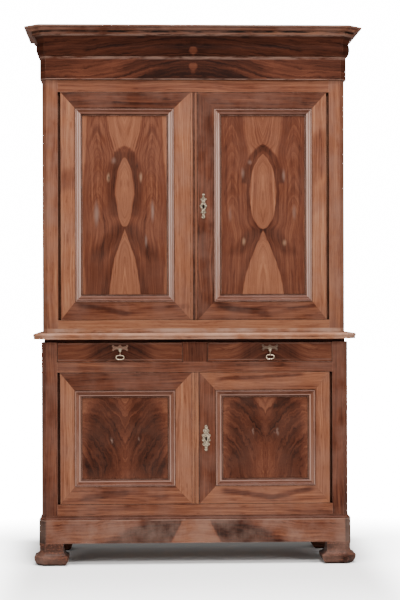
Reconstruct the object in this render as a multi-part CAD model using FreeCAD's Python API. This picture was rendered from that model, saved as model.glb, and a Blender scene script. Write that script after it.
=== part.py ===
import FreeCAD, Part
import math
import os

V = FreeCAD.Vector
X = V(1, 0, 0)
Y = V(0, 1, 0)
Z = V(0, 0, 1)

# A tall two-part walnut cupboard. The lower case has two drawers over two panelled doors and
# stands on a plinth with four moulded feet. The upper case is set back on the waist board, has
# two tall panelled doors, and carries a frieze and a cornice. Both front corners are canted,
# and every moulding turns round the cants with mitres. The front faces -Y.

# Driving dimensions of the two cases.
body_width = 1362
lower_depth = 540
setback = 105
cant_leg = 20

# Heights, from the floor up.
foot_height = 97
plinth_height = 104
lower_bottom_rail_height = 66
lower_opening_height = 586
mid_rail_height = 45
drawer_opening_height = 88.5
bearer_height = 14
waist_board_height = 25.5
upper_base_height = 19.5
upper_bottom_rail_height = 37.5
upper_opening_height = 1026
upper_top_rail_height = 56
frieze_height = 96
ogee_height = 102
crown_height = 37
base_moulding_height = 17

# How far each course stands out from the side and front faces of its case.
plinth_out = 12
foot_neck_out = 10
foot_toe_out = 24
base_moulding_out = 10
board_out = 37
frieze_out = 9
ogee_out = 43
crown_out = 78
bearer_in = 12

# Framing timber.
post_width = 70
post_depth = 50
rail_depth = 45
rear_post_width = 50
rear_post_depth = 45
side_rail_thickness = 28
side_rail_height = 70
upper_mid_rail_height = 60
rear_rail_thickness = 25
back_board_thickness = 12
back_board_count = 5
back_board_gap = 0.6
case_board_thickness = 14
shelf_thickness = 18
plinth_thickness = 24
upper_base_thickness = 25
cornice_inset = 15
side_panel_thickness = 12
side_panel_sink = 8
side_panel_border = 42
side_panel_raise = 5
groove_depth = 8
foot_width = 104
foot_block = 68
cleat_size = 20
shelf_set_in = 10
upper_shelf_count = 3
nose_in = 3

# Doors.
door_thickness = 26
door_hinge_gap = 13
door_rail_gap = 2
door_meeting_gap = 2
strip_width = 32
strip_proud = 5
door_hinge_stile_width = 64
door_meeting_stile_width = 73
lower_door_rail_height = 78
upper_door_bottom_rail_height = 81
upper_door_top_rail_height = 71
door_panel_thickness = 12
door_panel_sink = 10
door_moulding_width = 33
door_moulding_height = 15.5
stop_reach = 12
stop_gap = 3.5

# Pivot pins of the doors.
pin_radius = 4
pin_embed = 15
pin_edge_distance = 8
pin_collar_radius = 7
pin_clearance = 0.05
hole_end_room = 1

# Drawers.
drawer_gap = 2.3
drawer_rise = 2
divider_width = 110
drawer_front_thickness = 22
drawer_side_thickness = 12
drawer_side_height = 75
drawer_bottom_thickness = 8
drawer_bottom_lift = 8
drawer_groove = 5
drawer_length = 462
dovetail_lap = 7
dovetail_count = 3
runner_width = 45
runner_height = 20
guide_width = 16
guide_height = 30

# Clearances.
seat_clearance = 0.3
overrun = 1
touch = 0.001

# Locks, bolts and keepers on the backs of the doors.
lock_width = 62
lock_height = 84
lock_depth = 17
lock_edge = 3
bolt_length = 46
bolt_height = 16
bolt_thickness = 6
bolt_set_in = 5
keeper_width = 22
keeper_height = 32
slide_bar_width = 12
slide_bar_thickness = 6
slide_bar_length = 124
slide_bar_top = 4
slide_travel = 14
slide_plate_width = 30
slide_plate_height = 134
slide_plate_thickness = 2
staple_height = 12
staple_wall = 3
slide_knob_radius = 5
slide_knob_length = 12
slide_from_edge = 34
upper_lock_rise = 511
lower_lock_rise = 291

# Escutcheons.
escutcheon_thickness = 1.6
upper_escutcheon_width = 32
upper_escutcheon_height = 113
lower_escutcheon_width = 38
lower_escutcheon_height = 116
upper_escutcheon_from_edge = 25
lower_escutcheon_from_edge = 30
keyhole_radius = 3.2
keyhole_length = 13
keyhole_foot_width = 3.4

# Drawer pulls.
pull_plate_width = 72
pull_plate_height = 31
pull_plate_thickness = 1.6
pull_plate_rise = 19
pull_boss_radius = 6.5
pull_boss_length = 11
pull_boss_rise = 8.5
pull_eye_rise = -13.4
pull_eye_radius = 3.6
pull_eye_width = 4
pull_eye_out = 9
ring_wire_radius = 1.8
ring_width = 35
ring_height = 18.2
ring_bar_length = 10
ring_bead_radius = 2.5
ring_bead_length = 4.8
ring_facets = 8

# Pegs that locate the upper case on the waist board.
peg_radius = 8
peg_embed = 14
peg_rise = 15
peg_front_distance = 130
peg_back_distance = 90

# A mitred corner at 45 degrees widens by this share of its offset on each leg.
cant_growth_share = 2 - math.sqrt(2)
# Degrees in a full turn.
full_turn = 360
# Sagitta of a quarter circle over its chord.
quarter_share = (math.sqrt(2) - 1) / 2

# The waist board's nose as a share of its thickness, and its rounds as shares of the nose.
nose_height_share = 0.57
nose_top_round_share = 0.55
nose_bottom_round_share = 0.35

# Moulding sections as (out share, up share, bulge share of the chord to the next point).
# A positive bulge is hollow and a negative one is round.
ogee_shares = (
    (0.21, 0, quarter_share), (0.39, 0.10, 0), (0.43, 0.12, -0.11), (0.48, 0.62, 0.10),
    (0.84, 0.955, 0), (1, 0.955, 0), (1, 1, 0))
crown_shares = (
    (0.555, 0, 0), (0.555, 0.43, 0), (0.6, 0.43, -0.16), (0.8, 0.8, 0), (1, 0.82, 0), (1, 1, 0))
base_moulding_shares = ((1, 0, 0), (1, 0.26, quarter_share), (0.16, 0.9, 0), (0.16, 1, 0))
foot_shares = (
    (0.2, 0, -0.14), (1, 0.37, 0), (0.97, 0.4, 0.16), (0, 0.68, 0), (0, 0.9, 0),
    (0.085, 0.9, 0), (0.085, 1, 0))
door_moulding_shares = (
    (0, 0, 0), (0, 0.82, -0.3), (0.22, 0.82, 0), (0.25, 0.74, -0.14), (0.56, 0.5, 0.12),
    (0.84, 0.22, 0), (0.84, 0.3, -0.3), (0.98, 0.24, 0), (1, 0, 0))
# Meeting strip section across its width, as (across share, proud share, bulge share).
strip_shares = (
    (0, 0.35, 0), (0.06, 0.35, 0), (0.06, 0.6, -0.28), (0.38, 0.6, 0), (0.4, 0.2, 0.2),
    (0.6, 0.2, 0), (0.62, 0.6, -0.28), (0.94, 0.6, 0), (0.94, 0.35, 0), (1, 0.35, 0))
# Dovetail outline, as shares of one pitch: narrow at the root and wide at the tip.
tail_root_share = 0.5
tail_tip_share = 0.72
# Half outlines of the mounts, from the top point down, as shares of half width and height.
upper_escutcheon_shares = (
    (0, 1, -0.3), (0.34, 0.86, 0.2), (0.3, 0.72, 0.2), (0.78, 0.6, -0.3), (0.7, 0.48, 0.1),
    (0.44, 0.38, 0.08), (0.62, 0.2, 0), (1, 0.04, -0.2), (0.84, -0.08, 0), (0.46, -0.33, 0.2),
    (0.76, -0.46, -0.3), (0.66, -0.56, 0.2), (0.3, -0.62, 0.1), (0.42, -0.8, -0.3), (0, -1, 0))
lower_escutcheon_shares = (
    (0, 1, -0.25), (0.36, 0.8, 0.2), (0.34, 0.7, -0.2), (0.72, 0.56, -0.2), (0.5, 0.44, 0.2),
    (0.98, 0.28, -0.25), (0.8, 0.1, 0.15), (1, -0.1, -0.25), (0.62, -0.26, 0.2),
    (0.8, -0.4, -0.25), (0.6, -0.58, 0.15), (0.36, -0.7, 0.1), (0.34, -0.84, -0.25), (0, -1, 0))
pull_plate_shares = (
    (0, 1, 0), (0.2, 0.5, 0.1), (0.42, 0.42, 0.15), (0.84, 0.86, -0.25), (1, 0.5, 0.15),
    (0.9, 0, 0.15), (1, -0.5, -0.25), (0.78, -0.8, 0.15), (0.4, -0.4, 0.1), (0.2, -0.5, 0),
    (0, -1, 0))
# Outline of the turned boss, as (radius share, length share).
pull_boss_shares = ((0, 0), (1, 0), (1, 0.6), (0.88, 0.8), (0.55, 0.95), (0, 1))
# How far down its height the pull ring is widest, and where its beads sit on its half width.
ring_belly_share = 0.47
ring_bead_shares = (-0.42, 0, 0.42)
# Outline of a bead, as (along share of half its length, radius share).
bead_shares = ((-1, 0.62), (-0.5, 1), (0.5, 1), (1, 0.62))

# Places worked out from the sizes above.
half_width = body_width / 2
total_depth = lower_depth + board_out
back_y = total_depth / 2
lower_front = back_y - lower_depth
upper_front = lower_front + setback

plinth_z = foot_height
case_z = plinth_z + plinth_height
lower_open_z = case_z + lower_bottom_rail_height
mid_rail_z = lower_open_z + lower_opening_height
drawer_z = mid_rail_z + mid_rail_height
bearer_z = drawer_z + drawer_opening_height
board_z = bearer_z + bearer_height
upper_z = board_z + waist_board_height
upper_case_z = upper_z + upper_base_height
upper_open_z = upper_case_z + upper_bottom_rail_height
upper_top_rail_z = upper_open_z + upper_opening_height
frieze_z = upper_top_rail_z + upper_top_rail_height
ogee_z = frieze_z + frieze_height
crown_z = ogee_z + ogee_height
top_z = crown_z + crown_height

opening_half = half_width - post_width
side_rail_x = half_width - side_rail_thickness
rear_rail_y = back_y - back_board_thickness - rear_rail_thickness
boards_y = back_y - back_board_thickness
pin_x = opening_half - door_hinge_gap - pin_edge_distance
pin_depth = door_thickness / 2


def box(x0, x1, y0, y1, z0, z1):
    return Part.makeBox(x1 - x0, y1 - y0, z1 - z0, V(x0, y0, z0))


def mirrored(shape):
    return shape.mirror(V(0, 0, 0), X)


def both_sides(shape):
    return [mirrored(shape), shape]


def outline_face(points, origin, across, up):
    """Face from (a, b) or (a, b, bulge share) points in the plane of across and up."""
    places = [origin + across * p[0] + up * p[1] for p in points]
    normal = across.cross(up)
    edges = []
    for i, point in enumerate(points):
        start = places[i]
        end = places[(i + 1) % len(places)]
        bulge = point[2] if len(point) > 2 else 0
        if (end - start).Length < touch:
            continue
        if bulge:
            middle = (start + end) / 2 + normal.cross(end - start) * bulge
            edges.append(Part.Arc(start, middle, end).toShape())
        else:
            edges.append(Part.LineSegment(start, end).toShape())
    return Part.Face(Part.Wire(edges))


def prism(points, origin, across, up, along):
    return outline_face(points, origin, across, up).extrude(along)


def plan_prism(points, z0, z1):
    return prism(points, V(0, 0, z0), X, Y, Z * (z1 - z0))


def section(shares, out, height):
    return [(out * s[0], height * s[1], s[2]) for s in shares]


def backed_section(shares, out, height, inset):
    """Moulding section closed by a flat back, set in from the face of its case."""
    return [(-inset, 0)] + section(shares, out, height) + [(-inset, height)]


def mitre(before, after):
    joined = before + after
    return joined / (1 + before.dot(after))


def mitred_lengths(corners, profile, closed, origin, across, up):
    """One length of a moulding for each side of a path, mitred where the sides meet.

    The path lies in the plane of across and up, and the section stands to its right."""
    level = across.cross(up)
    places = [origin + across * c[0] + up * c[1] for c in corners]
    count = len(places)
    sides = count if closed else count - 1
    ways = [(places[(i + 1) % count] - places[i]).normalize() for i in range(sides)]
    outs = [way.cross(level) for way in ways]
    if closed:
        mitres = [mitre(outs[i - 1], outs[i]) for i in range(count)]
    else:
        inner = [mitre(outs[i - 1], outs[i]) for i in range(1, sides)]
        mitres = [outs[0]] + inner + [outs[-1]]
    low = min(p[0] for p in profile) - overrun
    high = max(p[0] for p in profile) + overrun
    floor = min(p[1] for p in profile) - overrun
    rise = max(p[1] for p in profile) + overrun - floor
    reach = high - low
    lengths = []
    for i in range(sides):
        start = places[i]
        end = places[(i + 1) % count]
        next_mitre = mitres[(i + 1) % len(mitres)]
        bar = prism(profile, start - ways[i] * reach, outs[i], level,
                    ways[i] * ((end - start).Length + 2 * reach))
        plan = [start + mitres[i] * low, end + next_mitre * low,
                end + next_mitre * high, start + mitres[i] * high]
        lifted = [p + level * floor for p in plan]
        wedge = Part.Face(Part.makePolygon(lifted + [lifted[0]])).extrude(level * rise)
        lengths += bar.common(wedge).Solids
    return lengths


def canted_corners(front, out=0):
    """Corners of a case's plan from its left back corner round the front to its right."""
    wide = half_width + out
    leg = cant_leg + out * cant_growth_share
    face = front - out
    return [(-wide, back_y), (-wide, face + leg), (-wide + leg, face),
            (wide - leg, face), (wide, face + leg), (wide, back_y)]


def course(front, shares, out, height, z0, inset):
    """The five mitred lengths of a moulded course round a case."""
    profile = backed_section(shares, out, height, inset)
    return mitred_lengths(canted_corners(front), profile, False, V(0, 0, z0), X, Y)


def plain_course(front, out, thickness, z0, z1):
    profile = [(out - thickness, 0), (out, 0), (out, z1 - z0), (out - thickness, z1 - z0)]
    return mitred_lengths(canted_corners(front), profile, False, V(0, 0, z0), X, Y)


def rim_edges(solid, z):
    """Edges round the front and sides of a board at one level, without its back edge."""
    level = [e for e in solid.Edges if all(abs(v.Z - z) < touch for v in e.Vertexes)]
    return [e for e in level if not all(abs(v.Y - back_y) < touch for v in e.Vertexes)]


def round_hole(centre, radius, depth, direction=Z):
    return Part.makeCylinder(radius, depth, centre, direction)


# Feet, plinth and base moulding.

def foot_solid(rear):
    """A foot with a rounded toe under a hollow, on a block that rises inside the plinth."""
    outer = half_width + foot_neck_out
    inner = outer - foot_width
    leg = cant_leg + foot_neck_out * cant_growth_share
    profile = backed_section(foot_shares, foot_toe_out, foot_height, foot_toe_out)
    if rear:
        front = back_y - foot_width
        corners = [(inner, back_y), (inner, front), (outer, front), (outer, back_y)]
    else:
        front = lower_front - foot_neck_out
        back = front + foot_width
        corners = [(outer, front + leg), (outer, back), (inner, back), (inner, front),
                   (outer - leg, front)]
    lengths = mitred_lengths(corners, profile, not rear, V(0, 0, 0), X, Y)
    core = plan_prism(corners, 0, foot_height)
    block_outer = half_width + plinth_out - plinth_thickness
    if rear:
        block = box(block_outer - foot_block, block_outer, back_y - foot_block, back_y,
                    plinth_z, case_z)
    else:
        block_front = lower_front - plinth_out + plinth_thickness
        block_leg = cant_leg + (plinth_out - plinth_thickness) * cant_growth_share
        block_in = block_outer - foot_block
        block_back = block_front + foot_block
        block = plan_prism([(block_outer - block_leg, block_front),
                            (block_outer, block_front + block_leg), (block_outer, block_back),
                            (block_in, block_back), (block_in, block_front)], plinth_z, case_z)
    return core.multiFuse(lengths + [block]).removeSplitter()


def feet(rear):
    return both_sides(foot_solid(rear))


def base_moulding():
    return course(lower_front, base_moulding_shares, base_moulding_out, base_moulding_height,
                  case_z, 0)


# Posts, rails and side frames.

def front_post(front, z0, z1, open_z0, open_z1):
    """Canted front post, with a stop behind the door worked on its inner face."""
    back = front + post_depth
    body = plan_prism([(half_width - cant_leg, front), (half_width, front + cant_leg),
                       (half_width, back), (opening_half, back), (opening_half, front)], z0, z1)
    stop = box(opening_half - stop_reach, opening_half, front + door_thickness + stop_gap, back,
               open_z0, open_z1)
    return body.fuse(stop).removeSplitter()


def pin_holes(front, z, up):
    """Holes for a pair of door pivots at one level, upwards or downwards from it."""
    depth = pin_embed + hole_end_room
    start = z if up else z - depth
    hole = round_hole(V(pin_x, front + pin_depth, start), pin_radius + pin_clearance, depth)
    return both_sides(hole)


def front_rail(front, z0, z1, holes):
    rail = box(-opening_half, opening_half, front, front + rail_depth, z0, z1)
    return rail.cut(holes)


def slide_bar_x():
    return -strip_width / 2 - slide_from_edge


def bolt_hole(front, rail_z):
    """Socket in a rail over the left door for the bar of its slide bolt."""
    half = slide_bar_width / 2 + seat_clearance + overrun
    near = front + door_thickness + slide_plate_thickness
    far = near + slide_bar_thickness + seat_clearance + overrun
    return box(slide_bar_x() - half, slide_bar_x() + half, near, far,
               rail_z - overrun, rail_z + slide_travel)


def fielded_panel(x_face, y0, y1, z0, z1):
    """Side panel with a raised field, bevelled down to a thin border held in grooves."""
    base = box(x_face - side_panel_thickness, x_face - side_panel_raise, y0 - groove_depth,
               y1 + groove_depth, z0 - groove_depth, z1 + groove_depth)
    inner = side_panel_border
    low = [V(x_face - side_panel_raise, y, z) for y, z in
           ((y0 + touch, z0 + touch), (y1 - touch, z0 + touch),
            (y1 - touch, z1 - touch), (y0 + touch, z1 - touch))]
    high = [V(x_face, y, z) for y, z in
            ((y0 + inner, z0 + inner), (y1 - inner, z0 + inner),
             (y1 - inner, z1 - inner), (y0 + inner, z1 - inner))]
    rings = [Part.makePolygon(r + [r[0]]) for r in (low, high)]
    return base.fuse(Part.makeLoft(rings, True, True))


def side_frame(front, z0, z1, rail_levels):
    """Rear post, side rails and the fielded panels between them, for the right side."""
    y0 = front + post_depth
    y1 = back_y - rear_post_depth
    post = box(half_width - rear_post_width, half_width, y1, back_y, z0, z1)
    rails = [box(side_rail_x, half_width, y0, y1, a, b) for a, b in rail_levels]
    panels = [fielded_panel(half_width - side_panel_sink, y0, y1, below[1], above[0])
              for below, above in zip(rail_levels, rail_levels[1:])]
    return post, rails, panels


def framed_side(front, z0, z1, rail_levels, front_post_solid):
    """Both sides of a case, grooved for their panels. Returns frame, panels and front posts."""
    post, rails, panels = side_frame(front, z0, z1, rail_levels)
    post = post.cut(panels)
    rails = [rail.cut(panels) for rail in rails]
    grooved = front_post_solid.cut(panels)
    frame = []
    skins = []
    for solid in [post] + rails:
        frame += both_sides(solid)
    for solid in panels:
        skins += both_sides(solid)
    return frame, skins, both_sides(grooved)


def rear_rails(levels):
    reach = half_width - rear_post_width
    return [box(-reach, reach, rear_rail_y, boards_y, a, b) for a, b in levels]


def back_boards(z0, z1):
    reach = half_width - rear_post_width
    pitch = 2 * reach / back_board_count
    return [box(-reach + i * pitch, -reach + (i + 1) * pitch - back_board_gap, boards_y, back_y,
                z0, z1) for i in range(back_board_count)]


def case_board(front, z0, thickness, y0, y1, notched_for):
    """Floor board that fills the case between its sides, notched round the posts."""
    board = box(-side_rail_x, side_rail_x, y0, y1, z0, z0 + thickness)
    return board.cut(notched_for)


def shelf(front, z):
    y0 = front + post_depth + shelf_set_in
    board = box(-side_rail_x, side_rail_x, y0, boards_y, z, z + shelf_thickness)
    reach = half_width - rear_post_width - seat_clearance
    y1 = back_y - rear_post_depth - seat_clearance
    notch = box(reach, half_width, y1, back_y, z, z + shelf_thickness)
    return board.cut(both_sides(notch))


def cleats(front, z):
    """Battens between the front and rear posts that carry one shelf."""
    cleat = box(side_rail_x - cleat_size, side_rail_x, front + post_depth,
                back_y - rear_post_depth, z - cleat_size, z)
    return both_sides(cleat)


# Drawer runners.

def drawer_runners():
    """Runners under the drawers, with guides beside them, between the front and the rear."""
    middle_y = lower_front + rail_depth
    side_y = lower_front + post_depth
    guide_x = opening_half - drawer_gap + seat_clearance
    rise = drawer_z + guide_height
    low = drawer_z - runner_height
    side = [(guide_x - runner_width, low), (side_rail_x, low), (side_rail_x, drawer_z),
            (guide_x + guide_width, drawer_z), (guide_x + guide_width, rise),
            (guide_x, rise), (guide_x, drawer_z), (guide_x - runner_width, drawer_z)]
    inner = divider_width / 2 + drawer_gap - seat_clearance
    middle = [(-inner - runner_width, low), (inner + runner_width, low),
              (inner + runner_width, drawer_z), (inner, drawer_z), (inner, rise),
              (-inner, rise), (-inner, drawer_z), (-inner - runner_width, drawer_z)]
    side_runner = prism(side, V(0, side_y, 0), X, Z, Y * (back_y - rear_post_depth - side_y))
    return both_sides(side_runner) + [prism(middle, V(0, middle_y, 0), X, Z,
                                            Y * (rear_rail_y - middle_y))]


# Waist.

def waist_bearers():
    """Thin bars, set in from the faces, that leave a dark line under the waist board."""
    wide = half_width - bearer_in
    face = lower_front + bearer_in
    leg = cant_leg - bearer_in * cant_growth_share
    depth = face + post_depth - bearer_in
    front = plan_prism([(-wide, face + leg), (-wide + leg, face), (wide - leg, face),
                        (wide, face + leg), (wide, depth), (-wide, depth)], bearer_z, board_z)
    inner = half_width - rear_post_width
    side = box(inner, wide, depth, back_y, bearer_z, board_z)
    back = box(-inner, inner, back_y - rear_post_depth, back_y, bearer_z, board_z)
    return [front] + both_sides(side) + [back]


def waist_board():
    """Board with a rounded nose over a small set-in fillet, on its front, cants and sides."""
    nose_height = waist_board_height * nose_height_share
    step_z = upper_z - nose_height
    nose = plan_prism(canted_corners(lower_front, board_out), step_z, upper_z)
    nose = nose.makeFillet(nose_height * nose_top_round_share, rim_edges(nose, upper_z))
    nose = nose.makeFillet(nose_height * nose_bottom_round_share, rim_edges(nose, step_z))
    fillet = plan_prism(canted_corners(lower_front, board_out - nose_in), board_z, step_z)
    return nose.fuse(fillet).removeSplitter().cut(peg_cylinders(0))


def peg_places():
    x = half_width - upper_base_thickness / 2
    return [(side * x, y) for side in (-1, 1)
            for y in (upper_front + peg_front_distance, back_y - peg_back_distance)]


def peg_cylinders(clearance):
    start = upper_z - peg_embed
    return [round_hole(V(x, y, start), peg_radius + clearance, peg_embed + peg_rise)
            for x, y in peg_places()]


def upper_base():
    lengths = plain_course(upper_front, 0, upper_base_thickness, upper_z, upper_case_z)
    holes = peg_cylinders(seat_clearance)
    return [length.cut(holes) for length in lengths]


# Hinge pins.

def hinge_pins(front, open_z0, open_z1):
    """Pivots in the rails over and under the doors. The lower ones have a collar."""
    y = front + pin_depth
    length = pin_embed + door_rail_gap + pin_embed
    low = round_hole(V(pin_x, y, open_z0 - pin_embed), pin_radius, length)
    collar = round_hole(V(pin_x, y, open_z0), pin_collar_radius, door_rail_gap - seat_clearance)
    high = round_hole(V(pin_x, y, open_z1 - pin_embed - door_rail_gap), pin_radius, length)
    return both_sides(low.fuse(collar).removeSplitter()) + both_sides(high)


# Doors.

def door_members(x0, x1, stiles, front, z0, z1, low_rail, high_rail):
    """Two stiles and two rails, mitred from the door's corners to those of its opening."""
    inner_x0 = x0 + stiles[0]
    inner_x1 = x1 - stiles[1]
    inner_z0 = z0 + low_rail
    inner_z1 = z1 - high_rail
    outer = [(x0, z0), (x0, z1), (x1, z1), (x1, z0)]
    inner = [(inner_x0, inner_z0), (inner_x0, inner_z1), (inner_x1, inner_z1),
             (inner_x1, inner_z0)]
    members = []
    for i in range(len(outer)):
        j = (i + 1) % len(outer)
        shape = [outer[i], outer[j], inner[j], inner[i]]
        members.append(prism(shape, V(0, front, 0), X, Z, Y * door_thickness))
    return members, inner


def door_panel(inner, front):
    y0 = front + door_panel_sink
    (x0, z0), (x1, z1) = inner[0], inner[2]
    return box(x0 - groove_depth, x1 + groove_depth, y0, y0 + door_panel_thickness,
               z0 - groove_depth, z1 + groove_depth)


def keyhole(x, front, z, depth):
    """Round-headed keyhole, cut back from the face of a door."""
    head = Part.makeCylinder(keyhole_radius, depth, V(x, front, z), Y)
    foot = box(x - keyhole_foot_width / 2, x + keyhole_foot_width / 2, front, front + depth,
               z - keyhole_length + keyhole_radius, z)
    return head.fuse(foot)


def door(x0, x1, stiles, front, z0, z1, low_rail, high_rail, holes):
    """Frame members, mitred panel mouldings and the panel of one door."""
    members, inner = door_members(x0, x1, stiles, front, z0, z1, low_rail, high_rail)
    panel = door_panel(inner, front)
    members = [m.cut([panel] + holes) for m in members]
    profile = section(door_moulding_shares, door_moulding_width, door_moulding_height)
    mouldings = mitred_lengths(inner, profile, True, V(0, front + door_panel_sink, 0), X, Z)
    return members + mouldings, panel


def meeting_strip(front, z0, z1):
    """Strip with two beads on the left door's meeting edge."""
    left = -strip_width / 2
    points = [(left, -door_thickness)]
    points += [(left + strip_width * s[0], strip_proud * s[1], -s[2]) for s in strip_shares]
    points.append((left + strip_width, -door_thickness))
    return prism([(p[0], p[1], -p[2] if len(p) > 2 else 0) for p in points],
                 V(0, front, z0), X, -Y, Z * (z1 - z0))


def lock_case_and_bolt(x_edge, front, z):
    """Rim lock on the back of a right door, with a bolt that slides out to the left."""
    back = front + door_thickness
    x0 = x_edge + lock_edge
    case = box(x0, x0 + lock_width, back, back + lock_depth, z - lock_height / 2,
               z + lock_height / 2)
    y0 = back + bolt_set_in
    bolt = box(x0, x0 + bolt_length, y0, y0 + bolt_thickness, z - bolt_height / 2,
               z + bolt_height / 2)
    channel = box(x0 - overrun, x0 + bolt_length + seat_clearance, y0 - seat_clearance,
                  y0 + bolt_thickness + seat_clearance, z - bolt_height / 2 - seat_clearance,
                  z + bolt_height / 2 + seat_clearance)
    return case.cut(channel), bolt


def lock_keeper(front, z):
    """Staple on the back of the meeting strip that takes the lock's bolt."""
    back = front + door_thickness
    x1 = strip_width / 2 - lock_edge
    y0 = back + bolt_set_in - seat_clearance
    y1 = back + bolt_set_in + bolt_thickness + seat_clearance
    half = bolt_height / 2 + seat_clearance
    block = box(x1 - keeper_width, x1, back, y1 + staple_wall, z - keeper_height / 2,
                z + keeper_height / 2)
    return block.cut(box(x1 - keeper_width - overrun, x1 + overrun, y0, y1, z - half, z + half))


def slide_bolt(front, door_top):
    """Plate with two staples on the back of a left door, and the bar that rises in them."""
    x = slide_bar_x()
    back = front + door_thickness
    face = back + slide_plate_thickness
    top = door_top - slide_bar_top
    plate = box(x - slide_plate_width / 2, x + slide_plate_width / 2, back, face,
                top - slide_plate_height, top)
    half = slide_bar_width / 2
    y0 = face + seat_clearance
    bar = box(x - half, x + half, y0, y0 + slide_bar_thickness, top - slide_bar_length, top)
    knob = Part.makeCylinder(slide_knob_radius, slide_knob_length,
                             V(x, y0 + slide_bar_thickness, top - slide_bar_length / 2), Y)
    outer = half + seat_clearance + staple_wall
    reach = y0 + slide_bar_thickness + seat_clearance
    staples = []
    for z in (top - 2 * staple_height, top - slide_bar_length + staple_height):
        staple = box(x - outer, x + outer, face, reach + staple_wall, z, z + staple_height)
        slot = box(x - half - seat_clearance, x + half + seat_clearance, face, reach, z,
                   z + staple_height)
        staples.append(staple.cut(slot))
    return plate.multiFuse(staples).removeSplitter(), bar.fuse(knob).removeSplitter()


# Mounts.

def mirrored_outline(shares, width, height):
    """Closed outline from half an outline that runs from its top point to its lowest."""
    places = [(s[0] * width / 2, s[1] * height / 2) for s in shares]
    left = [(-p[0], p[1], s[2]) for p, s in zip(places, shares)][:-1]
    right = [(*places[i], shares[i - 1][2]) for i in range(len(places) - 1, 0, -1)]
    return left + right


def escutcheon(shares, width, height, x, front, z):
    """Pierced plate round a keyhole."""
    plate = prism(mirrored_outline(shares, width, height), V(x, front, z), X, Z,
                  -Y * escutcheon_thickness)
    return plate.cut(keyhole(x, front - 2 * escutcheon_thickness, z, 4 * escutcheon_thickness))


def pull_plate(x, front, z):
    """Bow-shaped plate with a turned boss, and an eye below it for the ring."""
    plate = prism(mirrored_outline(pull_plate_shares, pull_plate_width, pull_plate_height),
                  V(x, front, z + pull_plate_rise), X, Z, -Y * pull_plate_thickness)
    boss_z = z + pull_boss_rise
    half_boss = [V(x + s[0] * pull_boss_radius, front - s[1] * pull_boss_length, boss_z)
                 for s in pull_boss_shares]
    boss = Part.Face(Part.makePolygon(half_boss + half_boss[:1]))
    boss = boss.revolve(V(x, front, boss_z), Y, full_turn)
    eye_z = z + pull_eye_rise
    half = pull_eye_width / 2
    eye_y = front - pull_eye_out
    eye = Part.makeCylinder(pull_eye_radius, pull_eye_width, V(x - half, eye_y, eye_z), X)
    neck = box(x - half, x + half, eye_y - pull_eye_radius / 2, eye_y + pull_eye_radius / 2,
               eye_z, boss_z)
    bore = Part.makeCylinder(ring_wire_radius + pin_clearance, pull_plate_width,
                             V(x - pull_plate_width / 2, eye_y, eye_z), X)
    solid = plate.multiFuse([boss, eye, neck])
    return solid.cut(bore).removeSplitter()


def tangent_arc(start, control, end):
    """Arc from start to end whose tangents there meet at control."""
    middle = (start + end) / 2
    rise = control - middle
    half = (end - start).Length / 2
    sagitta = half * math.tan(math.atan2(rise.Length, half) / 2)
    return Part.Arc(start, middle + rise.normalize() * sagitta, end).toShape()


def quarter_turn(start, way, end, end_way):
    """Two tangent arcs that turn from one direction at start to a square one at end."""
    gap = end - start
    along = gap.dot(way + end_way)
    reach = (math.sqrt(along ** 2 + 2 * gap.dot(gap)) - along) / 2
    first = start + way * reach
    second = end - end_way * reach
    joint = (first + second) / 2
    return [tangent_arc(start, first, joint), tangent_arc(joint, second, end)]


def facet_wire(centre, radius):
    """Closed polygon across X, for a cast bar that is filed to flats."""
    turns = [2 * math.pi * i / ring_facets for i in range(ring_facets)]
    points = [centre + (Y * math.cos(t) + Z * math.sin(t)) * radius for t in turns]
    return Part.makePolygon(points + points[:1])


def bead(centre):
    rings = [facet_wire(centre + X * (s[0] * ring_bead_length / 2), s[1] * ring_bead_radius)
             for s in bead_shares]
    return Part.makeLoft(rings, True, True)


def pull_ring(x, front, z):
    """Flattened ring: a round bar through the eye, then a flatted bow with beads on its base."""
    y = front - pull_eye_out
    top = z + pull_eye_rise
    half_bar = ring_bar_length / 2
    bar_left = V(x - half_bar, y, top)
    bar_right = V(x + half_bar, y, top)
    belly = top - ring_height * ring_belly_share
    right = V(x + ring_width / 2, y, belly)
    left = V(x - ring_width / 2, y, belly)
    base = V(x, y, top - ring_height)
    edges = [Part.LineSegment(bar_left, bar_right).toShape()]
    edges += quarter_turn(bar_right, X, right, -Z)
    edges += quarter_turn(right, -Z, base, -X)
    edges += quarter_turn(base, -X, left, Z)
    edges += quarter_turn(left, Z, bar_left, X)
    bow = Part.Wire(edges).makePipeShell([facet_wire(bar_left, ring_wire_radius)], True, False)
    bar = Part.makeCylinder(ring_wire_radius, ring_bar_length, bar_left, X)
    beads = [bead(base + X * (share * ring_width / 2)) for share in ring_bead_shares]
    return bow.multiFuse([bar] + beads)


# Drawers.

def tails(x0, x1, y_root, y_tip, z0):
    """Dovetails on the end of a drawer side."""
    pitch = drawer_side_height / dovetail_count
    root = pitch * tail_root_share / 2
    tip = pitch * tail_tip_share / 2
    shapes = []
    for i in range(dovetail_count):
        z = z0 + pitch * (i + 1 / 2)
        shapes.append(prism([(y_root, z - root), (y_tip, z - tip), (y_tip, z + tip),
                             (y_root, z + root)], V(x0, 0, 0), Y, Z, X * (x1 - x0)))
    return shapes


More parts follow.
